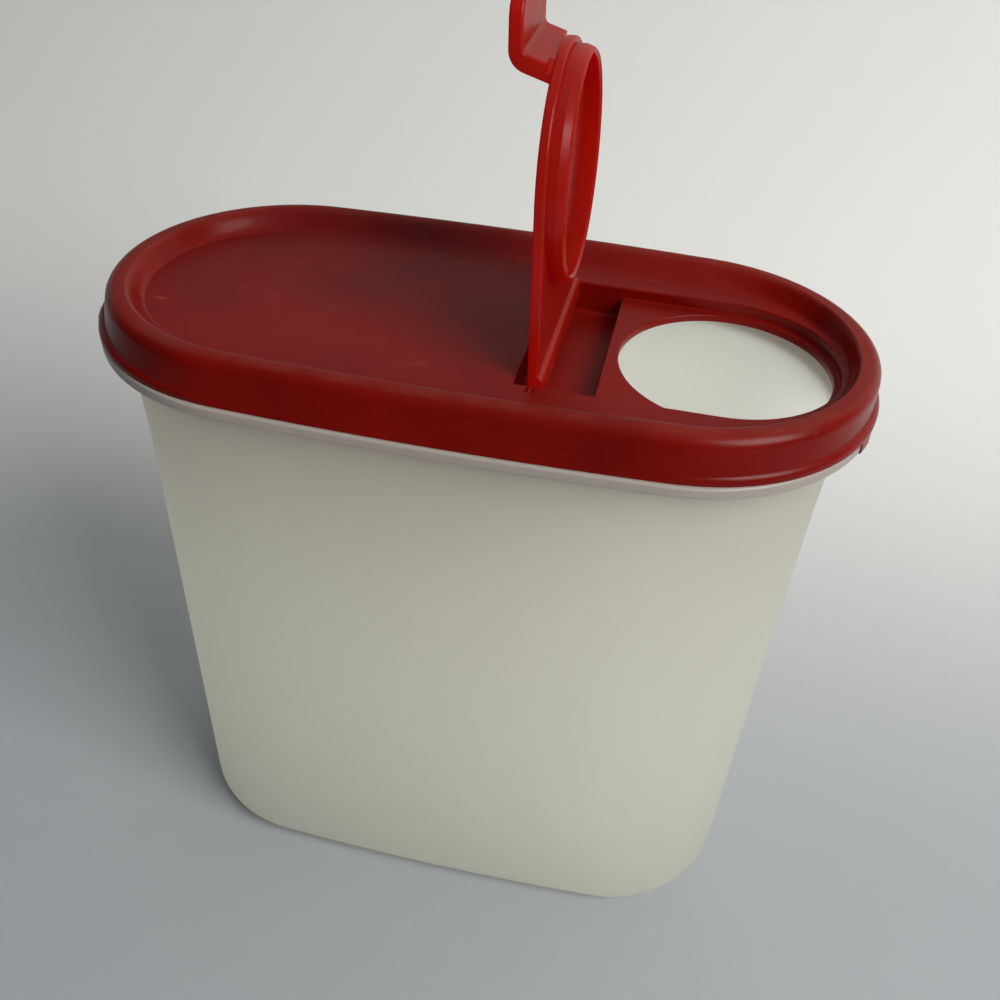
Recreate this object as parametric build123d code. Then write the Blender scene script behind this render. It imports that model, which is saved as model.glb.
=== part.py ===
from build123d import *
import math
import os

# Food storage container: an oval box with a lift-off lid and a flip cap over the lid's pour hole.
# Millimetres, +Z up. The origin is the middle of the foot and +X points to the pour end.
# Every inset below is measured inwards from the outline of the container's flange.

# Outline of the flange, seen from above
half_length = 92.5
half_width = 47.5
side_bulge = 1.3  # the half width less the radius of the round ends

# Container
flange_height = 166.0  # top of the flange, above the table
flange_thickness = 2.6
flange_lip = 1.4  # wall of the lip that turns down round the flange
flange_web = 1.2  # flat web between the lip and the body
flange_round = 0.5
groove_gap = 0.3  # the groove under the flange stops this far from the body's side
container_wall = 1.5
base_thickness = 1.7
foot_recess = 0.8  # hollow under the base
foot_land = 2.2  # width of the ring that stands on the table
base_radius = 7.8  # rounding where the body meets the base
body_top_inset = 5.493  # outer face of the body, where it meets the flange
body_draft = 0.0285  # sideways lean of the body per millimetre of height
neck_length = 34.0  # upper stretch of the body that curves out to the flange
neck_flare = 1.25
rim_inset = 4.3  # outer face of the upright rim that the lid closes over
rim_wall = 1.25
rim_round = 0.5
inner_step_drop = 0.6  # top of the inside step, below the flange's top

# Lid: rim and skirt
skirt_height = 10.4
skirt_wall = 1.3
skirt_bottom_inset = 0.9
skirt_side_inset = 3.6  # where the skirt's lean meets the lid's top, along the sides
skirt_left_inset = 2.7
skirt_right_inset = 1.0
lid_roof = 3.4  # thickness over the container's rim
lid_rim_round = 2.6
seal_wall = 1.9  # wall that hangs down inside the container's rim
seat_gap = 0.2  # between the skirt and the flange
rim_gap = 0.3  # between the container's rim and the lid's channel

# Lid: thumb lips at both ends, with small lugs that reach into notches in the flange
lip_reach = 0.4  # how far the lips pass the flange's outline
lip_height = 2.5
lip_round = 1.9
lip_taper_x = 39.5  # distance from the lip's tip to where it runs out along the skirt
lug_angle = 20.5  # degrees round the end, to either side of its middle
lug_width = 5.4
lug_thickness = 1.6
lug_gap = 0.35

# Lid: dished top
dish_depth = 4.5
dish_side_inset = 7.2  # upper edge of the dish, along the sides
dish_left_inset = 7.6
dish_right_inset = 6.3
floor_side_inset = 13.4  # foot of the dish's wall, along the sides
floor_left_inset = 10.1
floor_right_inset = 7.3
dish_end_bulge = 1.2
floor_end_bulge = 1.6
sheet = 1.7  # thickness of the lid's sheet
pan_spread = 0.85  # how far the sheet's underside stands out past the dish's outlines
dish_round = 0.5  # how far the dish's curved wall runs on past both outlines
dish_rim_slope = 0.22  # share of the dish's rise that is a plain slope, which lifts its wall past the rim

# Lid: pour recess, its hole and the hinge trough
recess_side_inset = 21.3  # sides of the recess; its round end has the same radius
recess_depth = 7.45
recess_end_inset = 8.65
recess_edge_round = 0.5
hole_edge_round = 0.4
recess_floor_round = 0.5
hole_ledge = 1.55  # ledge round the pour hole that the closed cap lies on
bridge_width = 2.5  # strip of the recess's floor between the hole and the trough
trough_depth = 12.8
trough_round = 1.2
heel_room = 4.05  # from the hinge's axis back to the trough's wall

# Flip cap
arm_length = 40.7  # from the hinge's axis to the middle of the plug
hinge_depth = 6.02  # below the lid's top
cap_top_rise = 1.07  # top of the closed cap, above the hinge's axis
cap_thickness = 2.25
cap_side_gap = 0.6
cap_edge_round = 0.5
heel_length = 3.5
heel_front = 3.2
heel_drop = 2.47
heel_round = 1.7
plug_gap = 0.35
plug_wall = 1.7
plug_length = 3.95
plug_root = 1.9  # straight upper part of the plug's side
plug_taper = 0.5
plug_tip_round = 0.55
pin_radius = 1.05
pin_length = 3.1
pin_gap = 0.05
socket_end_gap = 0.3
socket_wall = 1.5
socket_neck = 1.9
tab_half_width = 12.4
tab_step_inset = 5.6  # foot of the step, in from the cap's round end
tab_step_lean = 0.32  # millimetres that the step leans outwards per millimetre of rise
tab_step_wall = 3.8
tab_root = 1.5  # foot that spreads over the cap's back
tab_root_inset = 0.3  # the foot's end, in from the cap's round end
tab_root_round = 1.0
tab_wall = 3.0
tab_rise = 8.6  # top of the pull tab, above the top of the cap
tab_length = 16.3  # from the foot of the step to the tab's end
tab_outer_round = 4.4
tab_inner_round = 1.4
tab_corner_round = 5.0
tab_edge_round = 0.7
rest_lean = 1.83  # degrees that the raised cap leans back past upright

# Heights and places that follow from the sizes above
end_radius = half_width - side_bulge
end_x = half_length - end_radius
recess_radius = half_width - recess_side_inset
hole_radius = recess_radius - hole_ledge
lug_inner = end_radius + lip_reach - lug_thickness
flange_bottom = flange_height - flange_thickness
shoulder_height = flange_bottom - neck_length
lid_bottom = flange_height + seat_gap
lid_top = lid_bottom + skirt_height
channel_top = lid_top - lid_roof
rim_top = channel_top - rim_gap
rim_inner_inset = rim_inset + rim_wall
channel_outer_inset = rim_inset - rim_gap
seal_inset = rim_inner_inset + rim_gap
floor_z = lid_top - dish_depth
recess_z = lid_top - recess_depth
trough_z = lid_top - trough_depth
hole_x = half_length - recess_end_inset - recess_radius
pivot_x = hole_x - arm_length
pivot_z = lid_top - hinge_depth
trough_left = pivot_x - heel_room
trough_right = hole_x - hole_radius - bridge_width
cap_half_width = recess_radius - cap_side_gap
overlap = 1.0  # how far a cutting shape passes the face that it cuts


def oval_wire(half_l, half_w, bulge, z, shift=0.0):
    """Oval of four tangent arcs: two round ends and two slightly bowed sides."""
    end_r = half_w - bulge
    end_x = half_l - end_r
    side_r = (end_x**2 + half_w**2 - end_r**2) / (2 * bulge)
    reach = side_r / (side_r - end_r)
    tangent_x = end_x * reach
    tangent_y = (side_r - half_w) * (reach - 1)
    corners = [(tangent_x * i, tangent_y * j) for i, j in ((1, 1), (-1, 1), (-1, -1), (1, -1))]
    middles = [(0, half_w), (-half_l, 0), (0, -half_w), (half_l, 0)]
    arcs = []
    for i in range(4):
        points = (corners[i], middles[i], corners[(i + 1) % 4])
        arcs.append(ThreePointArc(*[Vector(x + shift, y, z) for x, y in points]))
    return Wire(arcs)


def flange_oval(inset, z):
    """The flange's outline, moved inwards by an inset."""
    return oval_wire(half_length - inset, half_width - inset, side_bulge, z)


def uneven_oval(side, left, right, bulge, z):
    """The flange's outline, moved inwards by its own inset along the sides and at each end."""
    half_l = half_length - (left + right) / 2
    return oval_wire(half_l, half_width - side, bulge, z, (left - right) / 2)


def loft_between(wires, ruled=True):
    return Solid.make_loft(wires, ruled)


def upright(wire, height):
    """Solid that stands straight up from a flat closed wire."""
    return extrude(Face(wire), height, dir=(0, 0, 1))


def edges_at(shape, z):
    """Edges that lie level at one height."""
    return shape.edges().filter_by_position(Axis.Z, z - 0.01, z + 0.01)


def box_between(low, high):
    size = [b - a for a, b in zip(low, high)]
    return Pos(*low) * Box(*size, align=(Align.MIN, Align.MIN, Align.MIN))


def body_inset(z):
    """Inset of the body's outer face: straight draft, then a curved flare to the flange."""
    flare = max(0.0, z - shoulder_height) / neck_length
    return body_top_inset + body_draft * (flange_bottom - z) + neck_flare * (1 - flare**2)


def body_solid(bottom, wall, corner_radius):
    """Body filled solid up to the flange, drawn in by a wall, with a rounded bottom edge."""
    straight = [flange_oval(body_inset(z) + wall, z) for z in (bottom, shoulder_height)]
    steps = 6
    levels = [shoulder_height + neck_length * i / steps for i in range(steps + 1)]
    curved = [flange_oval(body_inset(z) + wall, z) for z in levels]
    body = fillet(edges_at(loft_between(straight), bottom), corner_radius)
    return body + loft_between(curved, ruled=False)


def lug_boxes(facing, side_gap, inner_radius, low, high):
    """Upright boxes at one end's two lugs, set square to the round end and reaching out past the lip."""
    boxes = []
    width = lug_width + 2 * side_gap
    depth = end_radius + 2 * lip_reach + overlap - inner_radius
    align = (Align.MIN, Align.CENTER, Align.MIN)
    for turn in (-lug_angle, lug_angle):
        place = Rot(0, 0, facing) * Pos(end_x, 0, low) * Rot(0, 0, turn) * Pos(inner_radius, 0, 0)
        boxes.append(place * Box(depth, width, high - low, align=align))
    return boxes


def make_container():
    outer = body_solid(0, 0, base_radius)
    flange = upright(flange_oval(0, flange_bottom), flange_thickness)
    flange = fillet(edges_at(flange, flange_bottom) + edges_at(flange, flange_height), flange_round)
    rim = upright(flange_oval(rim_inset, flange_bottom), rim_top - flange_bottom)
    solid = outer + flange + rim

    # Inside: the body's hollow, a sloping step behind the flange, then the upright rim
    inside_floor = foot_recess + base_thickness
    step_top = flange_height - inner_step_drop
    solid -= body_solid(inside_floor, container_wall, base_radius - container_wall)
    neck_inset = body_inset(flange_bottom) + container_wall
    solid -= loft_between([flange_oval(neck_inset, flange_bottom), flange_oval(rim_inner_inset, step_top)])
    solid -= upright(flange_oval(rim_inner_inset, step_top), rim_top - step_top + overlap)

    # Under the flange the lip stands free of the body, and under the base is a shallow hollow
    groove_height = flange_thickness - flange_web
    groove = upright(flange_oval(flange_lip, flange_bottom), groove_height)
    groove -= upright(flange_oval(body_inset(flange_bottom) - groove_gap, flange_bottom), groove_height)
    solid -= groove
    foot_inset = body_inset(0) + base_radius + foot_land
    solid -= upright(flange_oval(foot_inset, 0), foot_recess)

    # Notches in the flange for the lid's lugs
    for facing in (0, 180):
        for notch in lug_boxes(facing, lug_gap, lug_inner - lug_gap, flange_bottom - overlap, lid_bottom):
            solid -= notch
    return fillet(edges_at(solid, rim_top), rim_round)


def lip_disc(facing, z, height):
    """Round disc that stands out past the skirt as a crescent at one end."""
    skirt_r = end_radius - skirt_bottom_inset
    tip = half_length + lip_reach
    run_x = tip - lip_taper_x
    run_y_squared = skirt_r**2 - (run_x - end_x) ** 2
    centre = (tip**2 - run_x**2 - run_y_squared) / (2 * (tip - run_x))
    place = Rot(0, 0, facing) * Pos(centre, 0, z)
    return place * Cylinder(tip - centre, height, align=(Align.CENTER, Align.CENTER, Align.MIN))


def make_thumb_lip(facing):
    """Disc whose edge is the thumb lip at one end, with the two lugs that hang from it."""
    lug_top = lid_bottom + lip_height / 2
    disc = lip_disc(facing, lid_bottom, lip_height)
    lip = fillet(disc.edges().filter_by(GeomType.CIRCLE).group_by(Axis.Z)[-1], lip_round)
    for lug in lug_boxes(facing, 0, lug_inner, flange_bottom, lug_top):
        lip += lug & lip_disc(facing, flange_bottom, lug_top - flange_bottom)
    return lip


def skirt_wire(rise, drawn_in=0.0):
    """Outline of the lid at a height above its lower edge, on the skirt's lean and then drawn in."""
    ends = (skirt_side_inset, skirt_left_inset, skirt_right_inset)
    share = rise / skirt_height
    insets = [skirt_bottom_inset + (end - skirt_bottom_inset) * share + drawn_in for end in ends]
    return uneven_oval(*insets, side_bulge, lid_bottom + rise)


def make_lid_block():
    """Lid filled solid: the leaning skirt, and above it the rim that rounds over to the flat top."""
    straight = skirt_height - lid_rim_round
    steps = 6
    rings = []
    for i in range(steps + 1):
        turn = math.radians(90 * i / steps)
        rise = straight + lid_rim_round * math.sin(turn)
        rings.append(skirt_wire(rise, lid_rim_round * (1 - math.cos(turn))))
    return loft_between([skirt_wire(0), skirt_wire(straight)]) + loft_between(rings, ruled=False)


def dish_wire(share, z, grow=0.0):
    """Outline of the dish: its floor's at share 0, its upper edge's at share 1, and between them."""
    left = floor_left_inset + (dish_left_inset - floor_left_inset) * share
    right = floor_right_inset + (dish_right_inset - floor_right_inset) * share
    side = floor_side_inset + (dish_side_inset - floor_side_inset) * share
    bulge = floor_end_bulge + (dish_end_bulge - floor_end_bulge) * share
    return uneven_oval(side - grow, left - grow, right - grow, bulge, z)


def make_dish():
    """Hollow of the dish: its wall curves up from the floor, over at the rim, and on a little past it."""
    steps = 8
    rings = []
    for i in range(steps + 3):
        share = i / steps
        curve = (1 - math.cos(math.pi * min(share, 1))) / 2
        rise = dish_depth * (dish_rim_slope * share + (1 - dish_rim_slope) * curve)
        rings.append(dish_wire(share, floor_z + rise, dish_round * (2 * share - 1)))
    return loft_between(rings, ruled=False)


def recess_plan(left, radius):
    """Flat outline with straight sides and one round end about the pour hole."""
    slab = Pos((left + hole_x) / 2, 0) * Rectangle(hole_x - left, 2 * radius)
    return slab + Pos(hole_x, 0) * Circle(radius)


def recess_block(left, radius, low, high):
    return extrude(Plane.XY.offset(low) * recess_plan(left, radius), high - low)


def make_sockets():
    """Bosses under the ledge and the open-topped seats in them for the cap's hinge pins."""
    bosses = []
    seats = []
    seat_r = pin_radius + pin_gap
    inner = recess_radius
    outer = cap_half_width + pin_length + socket_end_gap
    low = pivot_z - seat_r - socket_wall
    side = seat_r + socket_wall
    for end in (-1, 1):
        near, far = sorted((end * (inner - sheet / 2), end * (outer + socket_wall)))
        bosses.append(box_between((pivot_x - side, near, low), (pivot_x + side, far, floor_z - sheet / 2)))
        near, far = sorted((end * (inner - overlap), end * outer))
        seat = Pos(pivot_x, (near + far) / 2, pivot_z) * Rot(90, 0, 0) * Cylinder(seat_r, far - near)
        slot_low = (pivot_x - socket_neck / 2, near, pivot_z)
        seats.append(seat + box_between(slot_low, (pivot_x + socket_neck / 2, far, floor_z + overlap)))
    return bosses, seats


def arcs_at(shape, z, radius):
    """Arcs of one radius that lie level at one height."""
    arcs = edges_at(shape, z).filter_by(GeomType.CIRCLE)
    return [e for e in arcs if abs(e.radius - radius) < 0.01]


def cut_recess(lid):
    """Cuts the pour recess and its hole, and eases the upper edges of both."""
    recess = recess_block(trough_left, recess_radius, recess_z, lid_top)
    lid -= fillet(edges_at(recess, recess_z), recess_floor_round)
    lid -= Pos(hole_x, 0, recess_z) * Cylinder(hole_radius, 2 * (sheet + overlap))
    sides = [e for e in edges_at(lid, floor_z) if abs(abs(e.center().Y) - recess_radius) < 0.01]
    lid = fillet(sides + arcs_at(lid, floor_z, recess_radius), recess_edge_round)
    return fillet(arcs_at(lid, recess_z, hole_radius), hole_edge_round)


def make_lid():
    outer = make_lid_block()
    for facing in (0, 180):
        outer += make_thumb_lip(facing)
    under_wire = flange_oval(seal_inset + seal_wall, lid_bottom - overlap)
    lid = outer - upright(under_wire, channel_top - lid_bottom + overlap)

    # Outer sides of the dish, the recess and the trough, all one sheet thick
    pan_top = lid_top - sheet / 2
    lid += loft_between([dish_wire(0, floor_z - sheet, pan_spread), dish_wire(1, pan_top, pan_spread)])
    lid += recess_block(trough_left - sheet, recess_radius + sheet, recess_z - sheet, floor_z)
    wide = recess_radius + sheet
    trough_low = (trough_left - sheet, -wide, trough_z - sheet)
    trough_outer = box_between(trough_low, (trough_right + sheet, wide, floor_z))
    bottom_edges = edges_at(trough_outer, trough_z - sheet)
    lid += fillet(bottom_edges, trough_round)
    bosses, seats = make_sockets()
    for boss in bosses:
        lid += boss

    # The same spaces cut out from above
    lid = cut_recess(lid - make_dish())
    low = (trough_left, -recess_radius, trough_z)
    trough = box_between(low, (trough_right, recess_radius, recess_z + overlap))
    lid -= fillet(edges_at(trough, trough_z), trough_round)
    for seat in seats:
        lid -= seat

    # Channel that the container's rim stands in
    channel = loft_between(
        [
            flange_oval(skirt_bottom_inset + skirt_wall, lid_bottom),
            flange_oval(channel_outer_inset, channel_top),
        ]
    )
    channel -= upright(flange_oval(seal_inset, lid_bottom), channel_top - lid_bottom)
    return lid - channel


def make_tab(top, under, half):
    """Pull tab: a leaning step up from the cap's back, then a lip that runs out over the lid's rim."""
    foot = arm_length + half - tab_step_inset
    end = foot + tab_length
    middle = (top + under) / 2
    tab_top = top + tab_rise
    lip_under = tab_top - tab_wall
    inner_x = foot + tab_step_wall + tab_step_lean * (lip_under - top)
    side = Polyline(
        (foot - tab_root, middle),
        (foot - tab_root, top),
        (foot, top),
        (foot + tab_step_lean * tab_rise, tab_top),
        (end, tab_top),
        (end, lip_under),
        (inner_x, lip_under),
        (foot + tab_step_wall, top),
        (foot + tab_step_wall, middle),
        close=True,
    )
    tab = extrude(Plane.XZ * make_face(side), tab_half_width, both=True)
    corners = {
        (foot, top): tab_root_round,
        (foot + tab_step_lean * tab_rise, tab_top): tab_outer_round,
        (inner_x, lip_under): tab_inner_round,
    }
    for (x, z), radius in corners.items():
        tab = fillet(tab.edges().filter_by(Axis.Y).sort_by_distance((x, 0, z))[0], radius)
    tab = fillet(tab.edges().filter_by(Axis.Z).group_by(Axis.X)[-1], tab_corner_round)
    low = top + tab_root_round + tab_edge_round
    tab = fillet(tab.edges().filter_by_position(Axis.Z, low, tab_top + overlap), tab_edge_round)

    # Below the lid's floor the step stays inside the cap's round end, clear of the recess
    low = (foot, -half, under - overlap)
    outside = box_between(low, (end, half, floor_z - pivot_z + cap_side_gap))
    reach = Pos(arm_length, 0, middle) * Cylinder(half - tab_root_inset, 4 * (cap_thickness + tab_rise))
    return tab - (outside - reach)


def make_cap_closed():
    """Flip cap as it lies when closed, with the hinge's axis along Y through the origin."""
    top = cap_top_rise
    under = top - cap_thickness
    half = cap_half_width
    plan = Pos(arm_length / 2, 0) * Rectangle(arm_length, 2 * half) + Pos(arm_length, 0) * Circle(half)
    plate = extrude(Plane.XY.offset(under) * plan, cap_thickness)
    heel = box_between((-heel_length, -half, -heel_drop), (heel_front, half, top))
    heel = fillet(heel.edges().filter_by(Axis.Y).group_by(Axis.Z)[0], heel_round)
    cap = plate + heel
    cap = fillet(edges_at(cap, top), cap_edge_round)
    lower = [e for e in edges_at(cap, under) if abs(e.center().Y) > half - 0.01 or e.center().X > arm_length]
    cap = fillet(lower, cap_edge_round)

    # Plug: a short ring that drops into the pour hole
    outer_r = hole_radius - plug_gap
    inner_r = outer_r - plug_wall
    tip = under - plug_length
    profile = Polyline(
        (inner_r, under + overlap),
        (outer_r, under + overlap),
        (outer_r, under - plug_root),
        (outer_r - plug_taper, tip + plug_tip_round),
        (outer_r - plug_taper - plug_tip_round, tip),
        (inner_r + plug_tip_round, tip),
        (inner_r, tip + plug_tip_round),
        close=True,
    )
    ring = revolve(Plane.XZ * make_face(profile), Axis.Z)
    cap += Pos(arm_length, 0, 0) * ring

    cap += make_tab(top, under, half)

    # Hinge pins
    pin_span = 2 * (half + pin_length)
    cap += Rot(90, 0, 0) * Cylinder(pin_radius, pin_span)
    return cap


def make_flip_cap():
    """The cap turned up about its pins to where it stands in use."""
    return Pos(pivot_x, 0, pivot_z) * Rot(0, -(90 + rest_lean), 0) * make_cap_closed()


def main():
    os.makedirs("parts", exist_ok=True)
    pieces = {
        "container": make_container(),
        "lid": make_lid(),
        "flip_cap": make_flip_cap(),
    }
    for name, piece in pieces.items():
        export_step(piece, os.path.join("parts", name + ".step"))
        box = piece.bounding_box()
        print(name, round(piece.volume), [round(v, 2) for v in (*box.min, *box.max)])


main()
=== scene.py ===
import math

import bpy
import numpy as np
from mathutils import Matrix, Vector

# Oval food storage container: frosted body, red lift-off lid, red flip cap over the pour hole.
# Metres. The frame's origin is the middle of the foot, +X is the pour end, +Z is up.

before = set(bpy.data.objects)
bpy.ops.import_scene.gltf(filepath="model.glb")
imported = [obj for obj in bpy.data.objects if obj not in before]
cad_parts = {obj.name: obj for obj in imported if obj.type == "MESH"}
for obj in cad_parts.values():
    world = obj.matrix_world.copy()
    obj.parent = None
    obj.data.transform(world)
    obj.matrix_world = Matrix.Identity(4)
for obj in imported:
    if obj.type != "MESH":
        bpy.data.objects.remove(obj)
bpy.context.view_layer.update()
print("stage: frame loaded")


class Sock:  # one value in a material; plain arithmetic on it adds the Math nodes that work it out
    def __init__(self, paint, socket):
        self.paint = paint
        self.socket = socket

    def __add__(self, other):
        return self.paint.maths("ADD", self, other)

    def __radd__(self, other):
        return self.paint.maths("ADD", other, self)

    def __sub__(self, other):
        return self.paint.maths("SUBTRACT", self, other)

    def __rsub__(self, other):
        return self.paint.maths("SUBTRACT", other, self)

    def __mul__(self, other):
        return self.paint.maths("MULTIPLY", self, other)

    def __rmul__(self, other):
        return self.paint.maths("MULTIPLY", other, self)


class Paint:  # a material, or the room round the object, and the nodes in it
    def __init__(self, owner):
        self.owner = owner
        owner.use_nodes = True
        self.tree = owner.node_tree
        self.tree.nodes.clear()

    def make(self, kind, settings, sockets, out=0):
        node = self.tree.nodes.new("ShaderNode" + kind)
        for name, value in settings.items():
            setattr(node, name, value)
        for name, value in sockets.items():
            if isinstance(value, Sock):
                self.tree.links.new(value.socket, node.inputs[name])
            else:
                node.inputs[name].default_value = value
        return Sock(self, node.outputs[out]) if node.outputs else node

    def maths(self, operation, a, b):
        return self.make("Math", {"operation": operation}, {0: a, 1: b})

    def rise(self, value, low, high):  # 0 below low, 1 above high, smooth between
        limits = {"Value": value, "From Min": low, "From Max": high}
        return self.make("MapRange", {"interpolation_type": "SMOOTHSTEP"}, limits)

    def coordinates(self, kind):
        return self.make("TexCoord", {}, {}, kind)

    def axis(self, kind, letter):
        return self.make("SeparateXYZ", {}, {"Vector": self.coordinates(kind)}, letter)

    def along(self, turn, stretch):  # place turned about Z, with the pattern drawn out along its own X
        sockets = {"Rotation": (0, 0, turn), "Scale": (1 / stretch, 1, 1)}
        return self.make("Mapping", {}, {"Vector": self.coordinates("Object"), **sockets})

    def noise(self, scale, detail, vector=None):  # scale in waves per metre
        sockets = {"Vector": vector or self.coordinates("Object"), "Scale": scale, "Detail": detail}
        return self.make("TexNoise", {}, sockets)

    def blend(self, share, a, b):  # a Mix node takes its colours at 6 and 7 and gives one at 2
        first, second = (end if isinstance(end, Sock) else (*end, 1) for end in (a, b))
        return self.make("Mix", {"data_type": "RGBA"}, {0: share, 6: first, 7: second}, 2)

    def bump(self, height, distance):
        return self.make("Bump", {}, {"Height": height, "Distance": distance})

    def glowing(self, through, skin, glow):  # a thin wall: its skin, and the light that comes through it
        inside = self.make("BsdfTranslucent", {}, {"Color": (*glow, 1)})
        return self.make("MixShader", {}, {0: through, 1: skin, 2: inside})

    def finish(self, shader, kind="OutputMaterial"):
        self.make(kind, {}, {"Surface": shader})
        return self.owner


def srgb(red, green, blue):  # linear colour from 0 to 255 screen values
    share = np.array((red, green, blue)) / 255
    return tuple(np.where(share <= 0.04045, share / 12.92, ((share + 0.055) / 1.055) ** 2.4))


noiseMiddle = 0.5  # value that a noise pattern runs to either side of

lidLook = {
    "base": srgb(126, 12, 4),
    "deep": srgb(111, 8, 3),
    "scratch": srgb(158, 70, 56),
    "dustAndPaintedLight": srgb(136, 56, 44),  # handled crest of the rim: dust, and a painted sheen where the crest catches the light
    "crest": (0.1756, 0.1765),  # heights between which the dust and the painted sheen come in
    "roughness": 0.29,
    "gloss": 0.17,  # specular level
    "flatRoughness": 0.2,  # added where the top is flat, and rubbed matt
    "through": 0.08,  # share of the light that passes into the wall
    "glow": srgb(220, 30, 14),
}

capLook = {
    "base": srgb(170, 32, 17),
    "deep": srgb(148, 26, 14),
    "scratch": srgb(194, 84, 62),
    # painted shade with dust: the top of the open cap, its pull tab, painted darker
    "dustAndPaintedLight": srgb(128, 42, 32),
    "crest": (0.236, 0.250),
    "roughness": 0.26,
    "gloss": 0.36,
    "flatRoughness": 0.05,
    "through": 0.5,
    "glow": srgb(250, 46, 22),
}

redWear = {  # shared by the lid and the cap; a pattern is its scale and its detail
    "cloud": (34.0, 3.0),
    "cloudSpan": (0.3, 0.7),
    "cloudRoughness": 0.1,
    "grain": (1100.0, 3.0),  # the mould's own fine grain
    "scratches": ((0.6, 7, 620.0), (-0.5, 9, 560.0), (1.4, 6, 700.0)),  # turn, stretch, scale
    "scratchDetail": 1.0,
    "scratchSpan": (0.70, 0.78),
    "patch": (26.0, 2.0),  # where the scratches gather
    "patchSpan": (0.42, 0.62),
    "flatSpan": (0.9, 0.99),  # how far up a face looks, from not flat to flat
    "slopeShare": 0.2,  # scratches on a slope, against those on the flat
    "scratchShare": 0.5,
    "scratchRoughness": 0.1,
    "topBandBreakup": (90.0, 5.0),  # breaks up the dust and the painted light of the top band
    "topBandBreakupSpan": (0.25, 0.7),
    "dustAndPaintedLightShare": 0.35,
    "dustRoughness": 0.12,
    "cloudBump": 3.0,
    "grainBump": 0.6,
    "scratchBump": 0.5,
    "bumpDepth": 0.00004,
}


def scratchMask(paint, flat, wear):  # short scratches, gathered in patches, most of them on the flat
    lines = 0.0
    for turn, stretch, scale in wear["scratches"]:
        streaks = paint.noise(scale, wear["scratchDetail"], paint.along(turn, stretch))
        lines = lines + paint.rise(streaks, *wear["scratchSpan"])
    patches = paint.rise(paint.noise(*wear["patch"]), *wear["patchSpan"])
    return lines * patches * (flat * (1 - wear["slopeShare"]) + wear["slopeShare"])


def redPlastic(name, look, wear):
    paint = Paint(bpy.data.materials.new(name))
    cloud = paint.noise(*wear["cloud"])
    grain = paint.noise(*wear["grain"])
    flat = paint.rise(paint.axis("Normal", "Z"), *wear["flatSpan"])
    scratch = scratchMask(paint, flat, wear)
    crest = paint.rise(paint.axis("Object", "Z"), *look["crest"])
    # the top band: dust, with a painted sheen on the lid's crest and painted shade on the cap's tab
    dustAndPaintedLight = crest * paint.rise(paint.noise(*wear["topBandBreakup"]), *wear["topBandBreakupSpan"])
    colour = paint.blend(paint.rise(cloud, *wear["cloudSpan"]), look["deep"], look["base"])
    # paints the top band's dust together with its painted sheen or painted shade
    colour = paint.blend(dustAndPaintedLight * wear["dustAndPaintedLightShare"], colour, look["dustAndPaintedLight"])
    colour = paint.blend(scratch * wear["scratchShare"], colour, look["scratch"])
    roughness = look["roughness"] + flat * look["flatRoughness"]
    roughness = roughness + (cloud - noiseMiddle) * wear["cloudRoughness"]
    roughness = roughness + scratch * wear["scratchRoughness"] + dustAndPaintedLight * wear["dustRoughness"]
    relief = grain * wear["grainBump"] - scratch * wear["scratchBump"] + cloud * wear["cloudBump"]
    skin = paint.make("BsdfPrincipled", {}, {
        "Base Color": colour,
        "Roughness": roughness,
        "Normal": paint.bump(relief, wear["bumpDepth"]),
        "Specular IOR Level": look["gloss"],
    })
    return paint.finish(paint.glowing(look["through"], skin, look["glow"]))


bodyLook = {
    "base": srgb(248, 249, 243),
    "haze": srgb(246, 246, 239),
    "cloud": (11.0, 3.0),
    "cloudSpan": (0.35, 0.65),
    "cloudRoughness": 0.12,
    "grain": (1500.0, 3.0),
    "flange": srgb(191, 179, 172),  # the thicker band under the lid is clearer and greyer, with a painted pink cast of the red lid's light on it
    "flangeSpan": (0.1585, 0.1612),
    "flangeBlock": 0.5,  # how much less light the band lets through
    "flangePolish": 0.22,  # how much smoother the band is
    "stain": srgb(198, 199, 186),
    "smudge": (60.0, 4.0),
    "smudgeTurn": 0.2,
    "smudgeStretch": 3,
    "smudgeSpan": (0.58, 0.78),
    "smudgeShare": 0.25,
    "smudgeRoughness": 0.08,
    "speck": (520.0, 0.0),
    "speckSpan": (0.80, 0.84),
    "speckShare": 0.5,
    "roughness": 0.46,
    "ior": 1.5,
    "cloudBump": 4.0,
    "grainBump": 0.8,
    "bumpDepth": 0.00003,
    "through": 0.88,
    "glow": srgb(254, 254, 250),
}


def frostedPlastic(name, look):
    paint = Paint(bpy.data.materials.new(name))
    cloud = paint.noise(*look["cloud"])
    grain = paint.noise(*look["grain"])
    drawnOut = paint.along(look["smudgeTurn"], look["smudgeStretch"])
    smudge = paint.rise(paint.noise(*look["smudge"], drawnOut), *look["smudgeSpan"])
    speck = paint.rise(paint.noise(*look["speck"]), *look["speckSpan"])
    flange = paint.rise(paint.axis("Object", "Z"), *look["flangeSpan"])
    marks = smudge * look["smudgeShare"] + speck * look["speckShare"]
    colour = paint.blend(paint.rise(cloud, *look["cloudSpan"]), look["haze"], look["base"])
    colour = paint.blend(marks, colour, look["stain"])
    # the flange band: its clearer grey, and painted pink light from the lid
    colour = paint.blend(flange, colour, look["flange"])
    roughness = look["roughness"] + (cloud - noiseMiddle) * look["cloudRoughness"]
    roughness = roughness - flange * look["flangePolish"] + smudge * look["smudgeRoughness"]
    relief = grain * look["grainBump"] + cloud * look["cloudBump"]
    skin = paint.make("BsdfPrincipled", {}, {
        "Base Color": colour,
        "Roughness": roughness,
        "Normal": paint.bump(relief, look["bumpDepth"]),
        "IOR": look["ior"],
    })
    through = look["through"] - flange * look["flangeBlock"]
    return paint.finish(paint.glowing(through, skin, look["glow"]))


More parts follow.
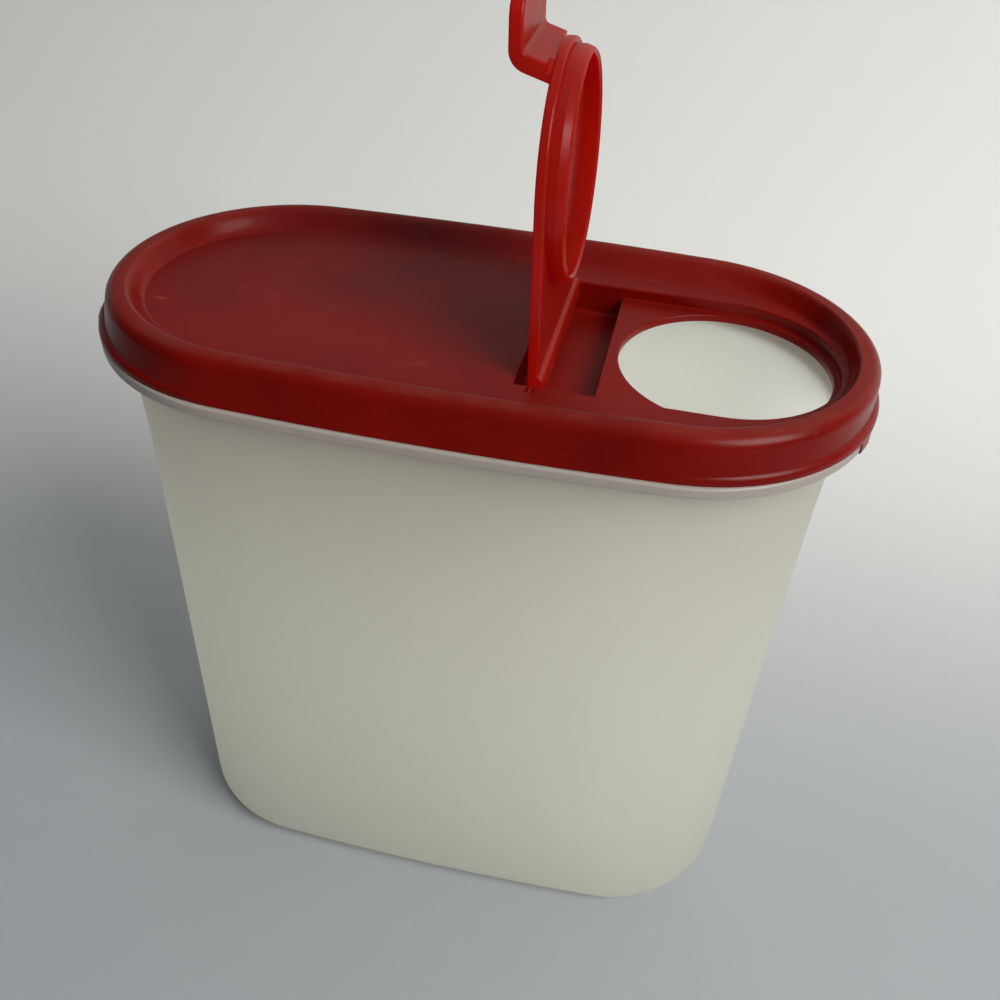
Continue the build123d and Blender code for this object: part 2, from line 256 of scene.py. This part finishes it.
def dress(node, material):
    node.data.materials.clear()
    node.data.materials.append(material)


dress(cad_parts["container"], frostedPlastic("frostedBody", bodyLook))
dress(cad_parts["lid"], redPlastic("redLid", lidLook, redWear))
dress(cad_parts["flip_cap"], redPlastic("redCap", capLook, redWear))
print("stage: finishes on")

backdropLook = {
    "front": -0.9,
    "back": 0.42,
    "bend": 0.3,
    "bendSteps": 24,
    "top": 1.6,
    "halfWidth": 1.6,
    "floor": srgb(168, 172, 176),
    "wall": srgb(240, 240, 236),
    "paintedLightSpan": (-0.02, 0.32),  # painted light: along Y, from the floor's grey in front to the wall's white, the sheet painted lighter towards the back
    "roughness": 0.8,
}


def sweepSheet(name, path, halfWidth):
    # point(u, v) = (u, pathY(v), pathZ(v)): a side path carried along X from -halfWidth to halfWidth
    u = np.linspace(-halfWidth, halfWidth, 3)
    x, v = np.meshgrid(u, np.arange(len(path)), indexing="ij")
    points = np.stack([x, path[v, 0], path[v, 1]], -1).reshape(-1, 3)
    i, j = np.meshgrid(np.arange(len(u) - 1), np.arange(len(path) - 1), indexing="ij")
    corner = (i * len(path) + j).ravel()
    faces = np.stack([corner, corner + len(path), corner + len(path) + 1, corner + 1], -1)
    mesh = bpy.data.meshes.new(name)
    mesh.from_pydata(points.tolist(), [], faces.tolist())
    mesh.shade_smooth()
    sheet = bpy.data.objects.new(name, mesh)
    bpy.context.scene.collection.objects.link(sheet)
    return sheet


def makeBackdrop(look):
    # between flat floor and wall, with t from 0 to a quarter turn:
    # y = back - bend + bend sin(t), z = bend - bend cos(t)
    turn = np.linspace(0, math.pi / 2, look["bendSteps"])
    bendY = look["back"] - look["bend"] * (1 - np.sin(turn))
    bendZ = look["bend"] * (1 - np.cos(turn))
    floorEnd, wallEnd = [[look["front"], 0]], [[look["back"], look["top"]]]
    path = np.concatenate([floorEnd, np.stack([bendY, bendZ], -1), wallEnd])
    sheet = sweepSheet("backdrop", path, look["halfWidth"])
    paint = Paint(bpy.data.materials.new("paleBackdrop"))
    # painted light: the floor darker in front, the wall lighter behind
    paintedLight = paint.rise(paint.axis("Object", "Y"), *look["paintedLightSpan"])
    colour = paint.blend(paintedLight, look["floor"], look["wall"])
    skin = paint.make("BsdfPrincipled", {}, {"Base Color": colour, "Roughness": look["roughness"]})
    sheet.data.materials.append(paint.finish(skin))


makeBackdrop(backdropLook)
print("stage: backdrop")

cameraSpec = {
    "place": (0.047788, -0.227970, 0.297937),
    "yaw": -0.177,  # turned from +Y, positive towards +X
    "pitch": 0.657,  # downwards
    "roll": 0.063,
    "lens": 39.815,
    "sensor": 36.0,
    "nearest": 0.01,
}


def makeCamera(spec):
    yaw, pitch, roll = spec["yaw"], spec["pitch"], spec["roll"]
    level = Vector((math.cos(yaw), -math.sin(yaw), 0))
    onward = Vector((math.sin(yaw), math.cos(yaw), 0))
    ahead = onward * math.cos(pitch) - Vector((0, 0, math.sin(pitch)))
    over = level.cross(ahead)
    right = level * math.cos(roll) + over * math.sin(roll)
    up = over * math.cos(roll) - level * math.sin(roll)
    data = bpy.data.cameras.new("camera")
    data.sensor_fit = "HORIZONTAL"
    data.sensor_width = spec["sensor"]
    data.lens = spec["lens"]
    data.clip_start = spec["nearest"]
    camera = bpy.data.objects.new("camera", data)
    bpy.context.scene.collection.objects.link(camera)
    turned = Matrix((right, up, -ahead)).transposed().to_4x4()
    turned.translation = Vector(spec["place"])
    camera.matrix_world = turned
    bpy.context.scene.camera = camera


makeCamera(cameraSpec)

lampSpecs = {
    "window": {  # high at the front right
        "place": (0.69, -0.44, 0.80),
        "aim": (0, 0, 0.12),
        "size": 0.6,
        "power": 10.2,
        "colour": (1, 0.985, 0.95),
    },
    "ceiling": {
        "place": (0.2, 0.2, 1.5),
        "aim": (0, 0, 0.1),
        "size": 1.6,
        "power": 2.6,
        "colour": (0.93, 0.96, 1),
    },
}


def makeLamp(name, spec):
    data = bpy.data.lights.new(name, "AREA")
    data.size = spec["size"]
    data.energy = spec["power"]
    data.color = spec["colour"]
    lamp = bpy.data.objects.new(name, data)
    bpy.context.scene.collection.objects.link(lamp)
    aim = Vector(spec["aim"]) - Vector(spec["place"])
    turned = aim.to_track_quat("-Z", "Y").to_matrix().to_4x4()
    lamp.matrix_world = Matrix.Translation(spec["place"]) @ turned


for lampName, lampSpec in lampSpecs.items():
    makeLamp(lampName, lampSpec)

roomLight = {
    "dark": (0.02, 0.02, 0.022),
    "light": (0.20, 0.21, 0.225),
    "towards": (0.6, 0.8),  # X and Z of the way in which the room gets lighter
    "span": (-0.8, 1.0),
}


def makeRoom(look):  # dim towards the left and the floor, lighter towards the window and the ceiling
    room = Paint(bpy.data.worlds.new("room"))
    towardsX, towardsZ = look["towards"]
    way = room.axis("Generated", "X") * towardsX + room.axis("Generated", "Z") * towardsZ
    colour = room.blend(room.rise(way, *look["span"]), look["dark"], look["light"])
    glow = room.make("Background", {}, {"Color": colour})
    bpy.context.scene.world = room.finish(glow, "OutputWorld")


makeRoom(roomLight)
bpy.context.scene.view_settings.view_transform = "Standard"
print("stage: camera and light")
